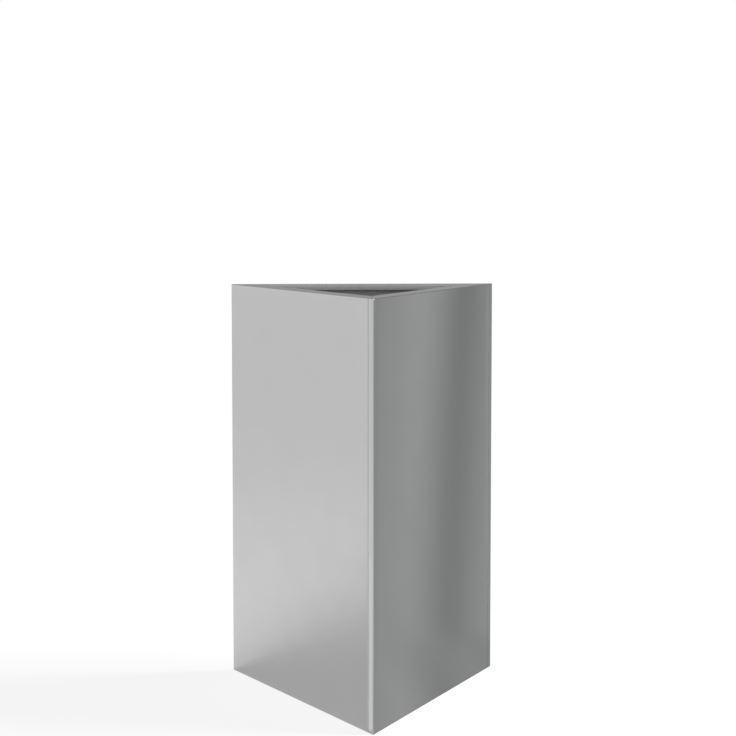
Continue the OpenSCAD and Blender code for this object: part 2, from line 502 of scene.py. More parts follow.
class SheetWork:
    """The outer face of one steel sheet, worked by folds, straight pulls and trims."""

    def __init__(self) -> None:
        """Starts with no sheet."""
        self.bm: BMesh = bmesh.new()
        self.region = self.bm.faces.layers.int.new("region")

    def panel(self, low: Vector, high: Vector, cells: tuple[int, int]) -> None:
        """Lays a flat panel in the X and Z plane.

        Args:
            low: its lowest corner.
            high: its highest corner.
            cells: number of cells along X and along Z.
        """
        size = high - low
        place = (
            Matrix.Translation((low + high) / 2)
            @ Matrix.Rotation(math.radians(90), 4, "X")
            @ Matrix.Diagonal((size.x, size.z, 1, 1))
        )
        bmesh.ops.create_grid(self.bm, x_segments=cells[0], y_segments=cells[1], size=0.5, matrix=place)

    def free_edges(self, test: Callable[[Vector], bool]) -> list[BMEdge]:
        """Finds the free edges whose ends both pass a test."""
        return [e for e in self.bm.edges if e.is_boundary and all(test(v.co) for v in e.verts)]

    def mark(self, first: int, region: Region) -> None:
        """Puts the faces made since there were some number of them in a region."""
        for face in list(self.bm.faces)[first:]:
            face[self.region] = region

    def fold(
        self, edges: list[BMEdge], centre: Vector, axis: Vector, degrees: float,
        region: Region = Region.UPRIGHT,
    ) -> list[BMEdge]:
        """Bends the sheet onwards from some free edges.

        Args:
            edges: where the fold starts.
            centre: a point on the fold's axis.
            axis: the fold's axis.
            degrees: how far it turns, by the right-hand rule.
            region: what the new faces belong to.

        Returns:
            The free edges where the fold ends.
        """
        first = len(self.bm.faces)
        made = bmesh.ops.spin(
            self.bm, geom=verts_of(edges) + edges, cent=centre, axis=axis,
            angle=math.radians(degrees), steps=math.ceil(abs(degrees) / FOLD_STEP),
            use_merge=False, use_normal_flip=False, use_duplicate=False,
        )
        self.mark(first, region)
        return [e for e in made["geom_last"] if isinstance(e, BMEdge)]

    def pull(self, edges: list[BMEdge], offset: Vector, region: Region = Region.UPRIGHT) -> list[BMEdge]:
        """Runs the sheet straight on from some free edges.

        Args:
            edges: where it starts.
            offset: how far it goes.
            region: what the new faces belong to.

        Returns:
            The new free edges.
        """
        first = len(self.bm.faces)
        end, verts = extrude(self.bm, edges)
        bmesh.ops.translate(self.bm, vec=offset, verts=verts)
        self.mark(first, region)
        return end

    def dome(self, edges: list[BMEdge], centre: Vector, up: int, radius: float) -> None:
        """Closes a rounded corner over its top or under its bottom with part of a sphere.

        Args:
            edges: the corner's free edges, round the centre.
            centre: the sphere's centre.
            up: 1 to close upwards and -1 to close downwards.
            radius: the sphere's radius.
        """
        steps = math.ceil(90 / FOLD_STEP)
        for i in range(1, steps + 1):
            tilt = math.radians(90 * i / steps)
            across, rise = radius * math.cos(tilt), UP * (up * radius * math.sin(tilt))
            edges = self.pull(edges, Vector(), Region.EDGE_FOLD)
            for vert in verts_of(edges):
                out = Vector((vert.co.x - centre.x, vert.co.y - centre.y, 0)).normalized()
                vert.co = centre + out * across + rise

    def shift(self, test: Callable[[Vector], bool], offset: Vector) -> None:
        """Moves those vertices of the turned edges that pass a test."""
        turned_in = {v for f in self.bm.faces if f[self.region] != Region.UPRIGHT for v in f.verts}
        bmesh.ops.translate(self.bm, vec=offset, verts=[v for v in turned_in if test(v.co)])

    def trim(self, region: Region, test: Callable[[Vector], bool], point: Vector, away: Vector) -> None:
        """Cuts some faces along a plane and removes what lies beyond it.

        Args:
            region: the region that is cut.
            test: says by its middle whether a face is cut.
            point: a point on the plane.
            away: the plane's normal, towards what is removed.
        """
        faces = self.faces_in(region, test)
        edges = list(dict.fromkeys(e for f in faces for e in f.edges))
        geom = faces + edges + verts_of(edges)
        bmesh.ops.bisect_plane(self.bm, geom=geom, dist=WELD, plane_co=point, plane_no=away)
        beyond = [f for f in self.faces_in(region, test) if (f.calc_center_median() - point).dot(away) > 0]
        bmesh.ops.delete(self.bm, geom=beyond, context="FACES")

    def faces_in(self, region: Region, test: Callable[[Vector], bool]) -> list[BMFace]:
        """Lists the faces of a region whose middles pass a test."""
        return [f for f in self.bm.faces if f[self.region] == region and test(f.calc_center_median())]

    def punch(self, centre: Vector, axis: Vector, radius: float) -> None:
        """Punches a round hole through a flat part of the sheet.

        Args:
            centre: the hole's centre, on the sheet.
            axis: its axis.
            radius: its radius.
        """

        def near(edge: BMEdge) -> bool:
            """Says whether an edge comes close to the hole.

            Args:
                edge: the edge.

            Returns:
                True where it does.
            """
            start, end = (v.co for v in edge.verts)
            part = unit(intersect_point_line(centre, start, end)[1])
            return (start.lerp(end, part) - centre).length < radius * HOLE_REACH

        def reaches(face: BMFace) -> bool:
            """Says whether a face lies in the hole's plane and meets the hole.

            Args:
                face: the face.

            Returns:
                True where it does.
            """
            level = abs((face.verts[0].co - centre).dot(axis)) <= TOUCH
            in_plane = level and abs(face.normal.dot(axis)) >= SAME_PLANE
            return in_plane and (intersect_face_point(face, centre) or any(map(near, face.edges)))

        self.bm.normal_update()
        faces = {f for f in self.bm.faces if reaches(f)}
        edges = list(dict.fromkeys(e for f in faces for e in f.edges))
        inner = [e for e in edges if len(e.link_faces) > 1 and faces.issuperset(e.link_faces)]
        rim = [e for e in edges if e not in inner]
        bmesh.ops.delete(self.bm, geom=list(faces), context="FACES_ONLY")
        bmesh.ops.delete(self.bm, geom=inner, context="EDGES")
        rim += self.hole_edge(centre, axis, radius)
        bmesh.ops.triangle_fill(self.bm, use_beauty=True, edges=rim, normal=axis)

    def hole_edge(self, centre: Vector, axis: Vector, radius: float) -> list[BMEdge]:
        """Draws the edge of a round hole.

        Args:
            centre: its centre.
            axis: its axis.
            radius: its radius.

        Returns:
            The edges of the circle.
        """
        place = Matrix.Translation(centre) @ axis.to_track_quat("Z", "Y").to_matrix().to_4x4()
        ring = bmesh.ops.create_circle(
            self.bm, cap_ends=False, segments=HOLE_SEGMENTS, radius=radius, matrix=place
        )
        return list(dict.fromkeys(e for v in ring["verts"] for e in v.link_edges))

    def thicken(self, sheet: float, ease: float, outward: Vector) -> None:
        """Merges the sheet, turns it outwards, gives it its thickness and eases its cut edges.

        Args:
            sheet: thickness, added inwards.
            ease: width taken off the cut edges.
            outward: which way the largest face looks from outside.
        """
        bmesh.ops.remove_doubles(self.bm, verts=self.bm.verts, dist=WELD)
        bmesh.ops.recalc_face_normals(self.bm, faces=self.bm.faces)
        if max(self.bm.faces, key=BMFace.calc_area).normal.dot(outward) < 0:
            bmesh.ops.reverse_faces(self.bm, faces=self.bm.faces)
        bmesh.ops.solidify(self.bm, geom=list(self.bm.faces), thickness=sheet)
        self.bm.normal_update()
        cut = [e for e in self.bm.edges if e.is_manifold and e.calc_face_angle() > CUT_EDGE]
        bmesh.ops.bevel(
            self.bm, geom=cut + verts_of(cut), offset=ease, offset_type="OFFSET", segments=1, profile=0.5,
            affect="EDGES", clamp_overlap=True, material=-1,
        )
        self.bm.normal_update()


def to_mesh(name: str, bm: BMesh) -> bpy.types.Mesh:
    """Turns a bmesh into a mesh.

    Args:
        name: the mesh's name.
        bm: the bmesh. It is freed.

    Returns:
        The mesh.
    """
    mesh = bpy.data.meshes.new(name)
    bm.to_mesh(mesh)
    bm.free()
    return mesh


def dress(name: str, bm: BMesh, steel: SteelFinish, node: str) -> bpy.types.Object:
    """Turns a bmesh into a finished piece that rides on the frame and stands for a CAD node.

    Args:
        name: the piece's name.
        bm: its mesh, in place. It is freed.
        steel: its finish.
        node: the CAD node that it replaces.

    Returns:
        The piece.
    """
    mesh = to_mesh(name, bm)
    mesh.shade_smooth()
    mesh.set_sharp_from_angle(angle=SHARP)
    mesh.materials.append(bpy.data.materials.get(steel.name) or steel.make())
    thing = add_object(name, mesh)
    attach(thing, BODY)
    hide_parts(node)
    return thing


# The planter


@dataclass(frozen=True)
class FoldedWall:
    """One wall: panel, corner strip, seam flanges, rim and foot, folded from one sheet."""

    sizes: PlanterSizes
    side: Side
    cells: tuple[int, int] = (24, 36)
    bow: float = 0.0003
    bow_spread: float = 0.16
    bow_stretch: float = 0.4
    bow_start: tuple[float, float, float] = (7.3, 1.9, 4.1)
    calm_edge: float = 0.05
    grain_start: tuple[float, float] = (1.7, 0.6)

    @property
    def strip_way(self) -> Vector:
        """Direction along the corner strip, away from the corner."""
        return Vector((math.cos(CORNER), math.sin(CORNER), 0))

    @property
    def strip_in(self) -> Vector:
        """Direction inwards from the corner strip."""
        return Vector((math.sin(CORNER), -math.cos(CORNER), 0))

    @property
    def ends(self) -> tuple[float, float]:
        """Places along the wall where its flat panel starts and ends."""
        return self.sizes.corner_start, self.sizes.seam_x - self.sizes.outer_radius

    def strip_point(self, along: float, depth: float, height: float = 0.0) -> Vector:
        """Gives a point by its way along the strip from the sharp corner, its depth and its height."""
        return self.strip_way * along + self.strip_in * depth + UP * height

    def upright(self, work: SheetWork) -> None:
        """Makes the panel, the fold and flange at its right end, and the strip at its left end.

        Args:
            work: the empty sheet.
        """
        s, r = self.sizes, self.sizes.outer_radius
        left, right = self.ends
        work.panel(Vector((left, 0, r)), Vector((right, 0, s.height - r)), self.cells)
        self.bow_panel(work)

        end = work.fold(work.free_edges(lambda p: p.x > right - TOUCH), Vector((right, r, 0)), UP, 90)
        work.pull(end, Vector((0, s.flange_depth - r, 0)))

        start = work.free_edges(lambda p: p.x < left + TOUCH)
        end = work.fold(start, Vector((left, r, 0)), UP, -math.degrees(2 * CORNER))
        end = work.pull(end, self.strip_way * (s.strip - r - left))
        end = work.fold(end, self.strip_point(s.strip - r, r), UP, -90)
        work.pull(end, self.strip_in * (s.flange_depth - r))

        for height in s.seam_heights:
            work.punch(Vector((s.seam_x, s.seam_hole_depth, height)), ALONG, s.hole_radius)
            work.punch(self.strip_point(s.strip, s.seam_hole_depth, height), self.strip_way, s.hole_radius)

    def bow_panel(self, work: SheetWork) -> None:
        """Bows the panel inwards by a fraction of a millimetre, as thin sheet does.

        Args:
            work: the sheet, with only its panel made.
        """
        (left, right), r = self.ends, self.sizes.outer_radius
        own = Vector(self.bow_start) * self.side.order
        for vert in work.bm.verts:
            x, z = vert.co.x, vert.co.z
            edge = min(x - left, right - x, z - r, self.sizes.height - r - z)
            calm = unit(edge / self.calm_edge)
            wave = noise.noise(Vector((x, 0, z * self.bow_stretch)) / self.bow_spread + own)
            vert.co.y += self.bow * calm * calm * (3 - 2 * calm) * (0.5 + 0.5 * wave)

    def turned_edge(self, work: SheetWork, up: int, depth: float, lip: float) -> None:
        """Turns in the rim or the foot, with its lip, and mitres it at both corners.

        Args:
            work: the sheet.
            up: 1 for the rim and -1 for the foot.
            depth: depth of the flat edge from the outer face.
            lip: height of the lip with its fold.
        """
        s, r, gap = self.sizes, self.sizes.outer_radius, self.sizes.mitre_gap
        left, right = self.ends
        level = s.height - r if up > 0 else r
        way, inward = self.strip_way, self.strip_in

        def at_level(p: Vector) -> bool:
            """Says whether a point is where the edge's fold starts."""
            return abs(p.z - level) < TOUCH

        def near_end(p: Vector) -> bool:
            """Says whether a point is in the edge or its lip."""
            return (p.z - level) * up > -lip

        def along(p: Vector, out: float, place: float, end: float) -> bool:
            """Says whether a point is at the level of a flat face's edge, between its two ends."""
            return at_level(p) and abs(out) < TOUCH and left - TOUCH < place < end + TOUCH

        main = work.free_edges(lambda p: along(p, p.y, p.x, right))
        strip = work.free_edges(lambda p: along(p, p.dot(inward), p.dot(way), s.strip - r))
        corner = work.free_edges(lambda p: at_level(p) and (p - Vector((left, r, level))).length < r + TOUCH)

        end = work.fold(main, Vector((0, r, level)), ALONG, -90 * up, Region.EDGE_FOLD)
        end = work.pull(end, Vector((0, depth - 2 * r, 0)), Region.MAIN_EDGE)
        end = work.fold(end, Vector((0, depth - r, level)), ALONG, -90 * up, Region.MAIN_EDGE)
        work.pull(end, Vector((0, 0, (r - lip) * up)), Region.MAIN_EDGE)
        end = work.fold(strip, self.strip_point(0, r, level), way, 90 * up, Region.EDGE_FOLD)
        work.pull(end, inward * (s.strip * TAN_HALF - r), Region.STRIP_EDGE)
        work.dome(corner, Vector((left, r, level)), up, r)

        reach = r - gap / 2
        work.shift(lambda p: near_end(p) and not at_level(p) and abs(p.x - right) < TOUCH, ALONG * reach)
        work.shift(
            lambda p: (p.z - level) * up > TOUCH and abs(p.dot(way) - (s.strip - r)) < TOUCH, way * reach
        )

        cut_in = Vector((math.sin(HALF_CORNER), math.cos(HALF_CORNER), 0))
        cut_out = Vector((-cut_in.x, cut_in.y, 0))
        work.trim(Region.MAIN_EDGE, near_end, Vector((s.side - gap, 0, 0)), cut_in)
        work.trim(Region.MAIN_EDGE, near_end, Vector((gap, 0, 0)), cut_out)
        work.trim(Region.STRIP_EDGE, near_end, way * gap, inward * cut_out.y + way * cut_out.x)

    def lay_grain(self, work: SheetWork) -> None:
        """Lays the flat sheet's coordinates over it, in metres, with U along its grain, and marks its folds,
        where shade is painted.

        Args:
            work: the finished sheet, in the wall's frame.
        """
        s = self.sizes
        layer = work.bm.loops.layers.uv.new(SHEET_MAP)
        painted_fold_shade = work.bm.faces.layers.float.new(FOLD_SHADE_MARK)
        own = Vector(self.grain_start) * self.side.order
        for face in work.bm.faces:
            middle, normal = face.calc_center_median(), face.normal
            strip = middle.y > middle.x * TAN_HALF
            way = -self.strip_way if strip else ALONG
            inward = self.strip_in if strip else INWARD
            flange = abs(normal.dot(way)) > math.cos(CORNER)
            level = math.copysign(1, middle.z - s.height / 2) if abs(normal.z) > math.cos(CORNER) else 0
            # Marks the folds for the painted shade that the finish lays on them.
            face[painted_fold_shade] = max(abs(normal.dot(square)) for square in (way, inward, UP)) < FLAT_ENOUGH
            for loop in face.loops:
                p = loop.vert.co
                depth = p.dot(inward)
                loop[layer].uv = Vector((p.dot(way) + (depth if flange else 0), p.z + level * depth)) + own

    def build(self) -> bpy.types.Object:
        """Folds the wall and sets it in its place.

        Returns:
            The piece.
        """
        s, work = self.sizes, SheetWork()
        self.upright(work)
        self.turned_edge(work, 1, s.rim_depth, s.rim_lip)
        self.turned_edge(work, -1, s.foot_depth, s.foot_lip)
        work.thicken(s.sheet, s.ease, -INWARD)
        self.lay_grain(work)
        bmesh.ops.transform(work.bm, matrix=self.side.place(s), verts=work.bm.verts)
        name = self.side.label
        return dress(f"{name}_folded_wall", work.bm, SATIN_SHEET, f"{name}_wall")


@dataclass(frozen=True)
class BaseTray:
    """The drained base tray: a triangular floor with cut corners and three turned-up edges."""

    sizes: PlanterSizes

    def floor(self, work: SheetWork) -> list[tuple[Side, list[BMEdge]]]:
        """Lays the flat floor, seen from below, with its drain holes.

        Args:
            work: the empty sheet.

        Returns:
            For each wall, the floor's free edge beside it.
        """
        s = self.sizes
        bm, points, beside = work.bm, [], []
        # The walls in their order round the floor
        for side in (Side.LEFT, Side.RIGHT, Side.BACK):
            place = side.place(s) @ Matrix.Translation((0, 0, s.foot_lip))
            for x, depth in (
                (s.tray_end_x, s.tray_corner_in),
                (s.tray_end_x, s.tray_flat),
                (s.side - s.tray_end_x, s.tray_flat),
                (s.side - s.tray_end_x, s.tray_corner_in),
            ):
                points.append(bm.verts.new(place @ Vector((x, depth, 0))))
            beside.append((side, [bm.edges.new(points[-3:-1])]))
        outline = [bm.edges.get(pair) or bm.edges.new(pair) for pair in zip(points, points[1:] + points[:1])]
        middle = Vector((0, s.middle_y, s.foot_lip))
        centres = [middle]
        for i in range(s.drains):
            turn = Matrix.Rotation(math.radians(90) + math.tau * i / s.drains, 3, "Z")
            centres.append(middle + turn @ Vector((s.drain_circle / 2, 0, 0)))
        holes = [e for c in centres for e in work.hole_edge(c, UP, s.drain / 2)]
        bmesh.ops.triangle_fill(bm, use_beauty=True, edges=outline + holes, normal=UP)
        return beside

    def lay_grain(self, work: SheetWork) -> None:
        """Lays the sheet's coordinates over the tray, in metres, with U along X.

        Args:
            work: the finished sheet.
        """
        layer = work.bm.loops.layers.uv.new(SHEET_MAP)
        for face in work.bm.faces:
            flat = abs(face.normal.z) > math.cos(CORNER)
            along = Vector((-face.normal.y, face.normal.x, 0)).normalized()
            for loop in face.loops:
                p = loop.vert.co
                loop[layer].uv = p.xy if flat else Vector((p.dot(along), p.z))

    def build(self) -> bpy.types.Object:
        """Folds the tray.

        Returns:
            The piece.
        """
        s, r, work = self.sizes, self.sizes.outer_radius, SheetWork()
        for side, edges in self.floor(work):
            place = side.place(s)
            along, inward = place.col[0].to_3d(), place.col[1].to_3d()
            centre = place @ Vector((0, s.tray_flat, s.foot_lip + r))
            end = work.fold(edges, centre, along, -90)
            work.pull(end, UP * (s.tray_edge - r))
            for x in s.stud_xs:
                work.punch(place @ Vector((x, s.tray_in, s.stud_height)), inward, s.hole_radius)
        work.thicken(s.sheet, s.ease, -UP)
        self.lay_grain(work)
        return dress("folded_base_tray", work.bm, MILL_SHEET, "base_tray")


# One ring of a turned shape: its radius, or its radius as a function of the angle, and its height
Ring = tuple[float | Callable[[float], float], float]


def hexagon(flats: float, largest: float = math.inf) -> Callable[[float], float]:
    """Gives a hexagon as its radius at an angle, with a corner at no angle.

    Args:
        flats: its width across the flats.
        largest: radius of the circle that it is turned down to.

    Returns:
        The radius as a function of the angle.
    """

    def radius(angle: float) -> float:
        """Gives the radius at an angle."""
        off_flat = angle % math.radians(60) - math.radians(30)
        return min(largest, flats / 2 / math.cos(off_flat))

    return radius


def turned(rings: Sequence[Ring], segments: int) -> BMesh:
    """Draws a closed shape round Z, ring by ring.

    Args:
        rings: radius and height of each ring. The first and last are points on the axis, or else
            the same ring, for a shape with a hole.
        segments: number of points in a ring.

    Returns:
        The shape, facing outwards.
    """
    bm = bmesh.new()
    verts = bmesh.ops.create_circle(bm, cap_ends=False, segments=segments, radius=1.0)["verts"]
    edges = list(bm.edges)
    for i, (radius, height) in enumerate(rings):
        if i:
            edges, verts = extrude(bm, edges)
        for vert in verts:
            angle = math.atan2(vert.co.y, vert.co.x)
            reach = max(radius(angle) if callable(radius) else radius, POLE)
            vert.co = (reach * math.cos(angle), reach * math.sin(angle), height)
    bmesh.ops.remove_doubles(bm, verts=bm.verts, dist=POLE * 3)
    bmesh.ops.recalc_face_normals(bm, faces=bm.faces)
    return bm


@dataclass(frozen=True)
class Thread:
    """A metric coarse thread, cut along Z."""

    major: float = 0.0049
    minor: float = 0.0040
    pitch: float = 0.0008
    slices: int = 8
    crest: float = 1.6
    flank: float = 3.6

    def rings(self, start: float, end: float) -> list[Ring]:
        """Draws the thread, with a chamfer at its far end.

        Args:
            start: height where it starts.
            end: height where it ends.

        Returns:
            Its rings.
        """
        chamfer = self.major - self.minor
        count = round((end - start) * self.slices / self.pitch)
        rings: list[Ring] = []
        for i in range(count + 1):
            height = start + (end - start) * i / count
            in_end, in_start = 2 * (end - height), 2 * (height - start) + chamfer / 4
            limit = min(self.major, self.minor + in_end, self.minor + in_start)
            rings.append((self.at(height, limit / 2), height))
        return rings

    def at(self, height: float, limit: float) -> Callable[[float], float]:
        """Gives the thread's section at a height.

        Args:
            height: the height.
            limit: largest radius there.

        Returns:
            The radius as a function of the angle.
        """

        def radius(angle: float) -> float:
            """Gives the radius at an angle.

            Args:
                angle: the angle round Z.

            Returns:
                The radius.
            """
            part = (height / self.pitch - angle / math.tau) % 1
            ridge = unit(self.crest - self.flank * abs(part - 0.5))
            return min(limit, (self.minor + (self.major - self.minor) * ridge) / 2)

        return radius


@dataclass(frozen=True)
class Fasteners:
    """The planter's screws, washers, nuts and studs, each drawn once and set in its places."""

    sizes: PlanterSizes
    thread: Thread = Thread()
    seed: int = 5
    thread_start: float = 0.0001
    dome_parts: tuple[float, ...] = (0.45, 0.55, 0.65, 0.75, 0.84, 0.91, 0.96, 0.99)
    seat_rings: tuple[tuple[float, float], ...] = ((0.995, -0.00008), (0.975, 0.0))
    socket_point: float = 0.0004
    socket_sunk: float = 0.0004
    socket_mouth: tuple[float, float] = (0.63, 0.0003)
    washer_burr: float = 0.00006
    washer_roll: float = 0.00022
    washer_bulge: float = 0.00007
    bore_burr: float = 0.00008
    bore_roll: float = 0.00015
    nut_play: float = 0.0001
    nut_face_inset: float = 0.0001
    nut_cone: tuple[float, ...] = (0.0001, 0.00025, 0.0004, 0.00055, 0.00072)
    nut_sunk: float = 0.0004
    collar: float = 0.0032
    collar_height: float = 0.0004
    collar_edge: float = 0.00015

    def screw(self) -> BMesh:
        """Draws a button head screw with its seat at the origin and its shank along +Z.

        Returns:
            The screw.
        """
        s = self.sizes
        top, edge, floor = -s.head_height, s.head / 2, s.socket_depth - s.head_height
        dome = (edge * edge + s.head_height * s.head_height) / (2 * s.head_height)
        mouth, sunk = self.socket_mouth
        rings: list[Ring] = [
            (0, floor + self.socket_point),
            (hexagon(s.socket_flats), floor),
            (hexagon(s.socket_flats), top + self.socket_sunk),
            (s.socket_flats * mouth, top + sunk),
        ]
        for reach in (edge * part for part in self.dome_parts):
            rings.append((reach, top + dome - math.sqrt(dome * dome - reach * reach)))
        rings += [(edge * part, height) for part, height in self.seat_rings]
        rings.append((s.thread / 2, 0.0))
        rings += self.thread.rings(self.thread_start, s.seam_screw_length)
        return turned(rings + [(0, s.seam_screw_length)], SCREW_SEGMENTS)

    def washer(self) -> BMesh:
        """Draws a stamped washer with its lower face at the origin: one edge rolled, one sharp.

        Returns:
            The washer.
        """
        s = self.sizes
        outer, inner, high = s.washer / 2, s.hole_radius, s.washer_sheet
        rings: list[Ring] = [
            (outer - self.washer_burr, 0), (outer, self.washer_burr), (outer, high - self.washer_roll),
            (outer - self.washer_bulge, high - self.washer_bulge), (outer - self.washer_roll, high),
            (inner + self.bore_burr, high), (inner, high - self.bore_burr),
            (inner, self.bore_roll), (inner + self.bore_roll, 0), (outer - self.washer_burr, 0),
        ]
        return turned(rings, WASHER_SEGMENTS)

    def nut(self) -> BMesh:
        """Draws a hexagon nut with its lower face at the origin and both faces chamfered.

        Returns:
            The nut.
        """
        s = self.sizes
        bore, high, sunk = self.thread.major / 2 + self.nut_play, s.nut_height, self.nut_sunk
        face = s.nut_flats / 2 - self.nut_face_inset
        steps = [(hexagon(s.nut_flats, face + grow), grow / math.sqrt(3)) for grow in (0.0, *self.nut_cone)]
        low: list[Ring] = [(shape, rise) for shape, rise in steps]
        upper: list[Ring] = [(shape, high - rise) for shape, rise in reversed(steps)]
        hole: list[Ring] = [(bore + sunk, high), (bore, high - sunk), (bore, sunk), (bore + sunk, 0.0)]
        return turned(low + upper + hole + low[:1], WASHER_SEGMENTS)

    def stud(self) -> BMesh:
        """Draws a weld stud that stands on the origin, with a low collar and a thread.

        Returns:
            The stud.
        """
        s, collar, top = self.sizes, self.collar, self.collar_height
        rings: list[Ring] = [
            (0, 0), (collar, 0), (collar, top - self.collar_edge), (collar - self.collar_edge, top),
            (self.thread.minor / 2, top),
        ]
        rings += self.thread.rings(top + self.thread_start, s.stud_length)
        return turned(rings + [(0, s.stud_length)], SCREW_SEGMENTS)

    def seam_places(self, seam: Seam, x: float) -> list[Matrix]:
        """Gives a seam's places at a distance along its wall, with Z along the screw."""
        s, wall = self.sizes, seam.wall.place(self.sizes)
        return [wall @ Matrix.Translation((x, s.seam_hole_depth, z)) @ ALONG_WALL for z in s.seam_heights]

    def tray_places(self, depth: float) -> list[Matrix]:
        """Gives the tray's places at a depth from the walls' outer faces, with Z inwards."""
        spots = [Matrix.Translation((x, depth, self.sizes.stud_height)) for x in self.sizes.stud_xs]
        return [side.place(self.sizes) @ spot @ THROUGH_WALL for side in Side for spot in spots]

    def build(self) -> list[bpy.types.Object]:
        """Builds every set of fasteners.

        Returns:
            The pieces.
        """
        s, things = self.sizes, []
        screw, washer, nut = "screw_steel", "washer_steel", "nut_steel"
        for seam in Seam:
            left, right = s.seam_x - s.sheet - s.washer_sheet, s.seam_x + s.sheet
            for what, kind, shape, x, steel, slot in (
                ("socket_screws", "screws", self.screw(), left, TURNED_STEEL, screw),
                ("plain_washers", "washers", self.washer(), left, TUMBLED_STEEL, washer),
                ("hex_nuts", "nuts", self.nut(), right, TUMBLED_STEEL, nut),
            ):
                name = f"{seam.label}_{what}"
                bm = self.repeat(shape, self.seam_places(seam, x), name)
                things.append(dress(name, bm, steel, f"{seam.label}_seam_{kind}"))
        on_edge = s.tray_in + s.sheet
        for name, shape, depth, steel, node, slot in (
            ("weld_studs", self.stud(), s.sheet, TURNED_STEEL, "tray_studs", screw),
            ("stud_washers", self.washer(), on_edge, TUMBLED_STEEL, "tray_washers", washer),
            ("stud_nuts", self.nut(), on_edge + s.washer_sheet, TUMBLED_STEEL, "tray_nuts", nut),
        ):
            bm = self.repeat(shape, self.tray_places(depth), name)
            things.append(dress(name, bm, steel, node))
        return things

    def repeat(self, shape: BMesh, places: list[Matrix], name: str) -> BMesh:
        """Sets copies of a shape in their places, each turned on its axis as it was tightened.

        Args:
            shape: the shape. It is freed.
            places: where the copies go.
            name: seeds the turns.

        Returns:
            The copies in one mesh.
        """
        turns = random.Random(f"{self.seed} {name}")
        one, bm = to_mesh(name, shape), bmesh.new()
        for place in places:
            first = len(bm.verts)
            bm.from_mesh(one)
            bm.verts.ensure_lookup_table()
            turn = Matrix.Rotation(turns.uniform(0, math.tau), 4, "Z")
            bmesh.ops.transform(bm, matrix=place @ turn, verts=bm.verts[first:])
        bpy.data.meshes.remove(one)
        return bm


# The studio


@dataclass(frozen=True)
class PhotoCamera:
    """The camera, placed by the perspective of the planter's corners in the photograph."""

    place: tuple[float, float, float] = (-0.15442, -3.29916, 0.95447)
    down_degrees: float = 4.4
    turn_degrees: float = -2.6961
    focal_px: float = 1837.42
    frame_shift_px: float = -49.83
    sensor_mm: float = 36.0

    def build(self) -> None:
        """Makes the scene's camera."""
        data = bpy.data.cameras.new("photo_camera")
        data.sensor_width = self.sensor_mm
        data.lens = self.focal_px * self.sensor_mm / IMAGE_PX
        data.shift_y = self.frame_shift_px / IMAGE_PX
        camera = add_object("photo_camera", data)
        camera.location = self.place
        tilt, turn = math.radians(90 - self.down_degrees), math.radians(self.turn_degrees)
        camera.rotation_euler = Euler((tilt, 0, turn))
        bpy.context.scene.camera = camera


def add_rectangle(name: str, size: tuple[float, float], material: bpy.types.Material) -> bpy.types.Object:
    """Adds a flat rectangle that belongs to the studio and not to the planter.

    Args:
        name: its name.
        size: its size along X and Y.
        material: its surface.

    Returns:
        The object, flat on the ground.
    """
    bm = bmesh.new()
    shape = Matrix.Diagonal((*size, 1, 1))
    bmesh.ops.create_grid(bm, x_segments=1, y_segments=1, size=0.5, matrix=shape)
    thing = add_object(name, to_mesh(name, bm))
    thing.data.materials.append(material)
    return thing


Greys = tuple[tuple[float, float], ...]


def even(level: float) -> Greys:
    """Gives the grey levels of a card that is the same all over."""
    return ((0.0, level), (1.0, level))


@dataclass(frozen=True)
class Card:
    """A matt card that only the steel sees: where it is and its grey levels from left to right."""

    name: str
    centre: tuple[float, float, float]
    size: tuple[float, float]
    facing_degrees: float
    greys: Greys
    lean_degrees: float = 90.0
    roll_degrees: float = 0.0
    tint: str = "#FFFFFF"

    def paper(self) -> bpy.types.Material:
        """Makes its surface, which shows the grey levels as they are given, in its tint.

        Returns:
            The material.
        """
        material, tree = start_material(f"{self.name}_paper")
        place = add_node(tree, "TexCoord").outputs["Object"]
        across = add_node(tree, "SeparateXYZ", Vector=place)
        half = self.size[0] / 2
        part = add_node(tree, "MapRange", Value=across, From_Min=-half, From_Max=half)
        ramp = add_node(tree, "ValToRGB", Fac=part)
        stops, tint = ramp.color_ramp.elements, linear(self.tint)[:3]
        stops[0].position, stops[1].position = self.greys[0][0], self.greys[-1][0]
        for along, _ in self.greys[1:-1]:
            stops.new(along)
        for stop, (_, level) in zip(stops, self.greys):
            stop.color = (*(level * channel for channel in tint), 1.0)
        add_node(tree, "OutputMaterial", Surface=add_node(tree, "Emission", Color=ramp))
        return material

    def build(self) -> None:
        """Sets the card up, without a shadow and where the camera doesn't see it."""
        thing = add_rectangle(self.name, self.size, self.paper())
        place = Matrix.Translation(self.centre)
        for degrees, axis in ((self.facing_degrees, "Z"), (self.lean_degrees, "X"), (self.roll_degrees, "Z")):
            place = place @ Matrix.Rotation(math.radians(degrees), 4, axis)
        thing.matrix_world = place
        for rays in ("camera", "diffuse", "shadow", "transmission"):
            setattr(thing, f"visible_{rays}", False)


@dataclass(frozen=True)
class Sun:
    """The main light: broad and soft, from above."""

    azimuth_degrees: float = -0.6
    height_degrees: float = 41.5
    spread_degrees: float = 24.0
    strength: float = 4.27

    def build(self) -> None:
        """Makes the light."""
        data = bpy.data.lights.new("soft_key_light", "SUN")
        data.energy, data.angle = self.strength, math.radians(self.spread_degrees)
        azimuth, height = math.radians(self.azimuth_degrees), math.radians(self.height_degrees)
        flat = math.cos(height)
        towards = Vector((math.cos(azimuth) * flat, math.sin(azimuth) * flat, math.sin(height)))
        add_object("soft_key_light", data).rotation_euler = towards.to_track_quat("Z", "Y").to_euler()


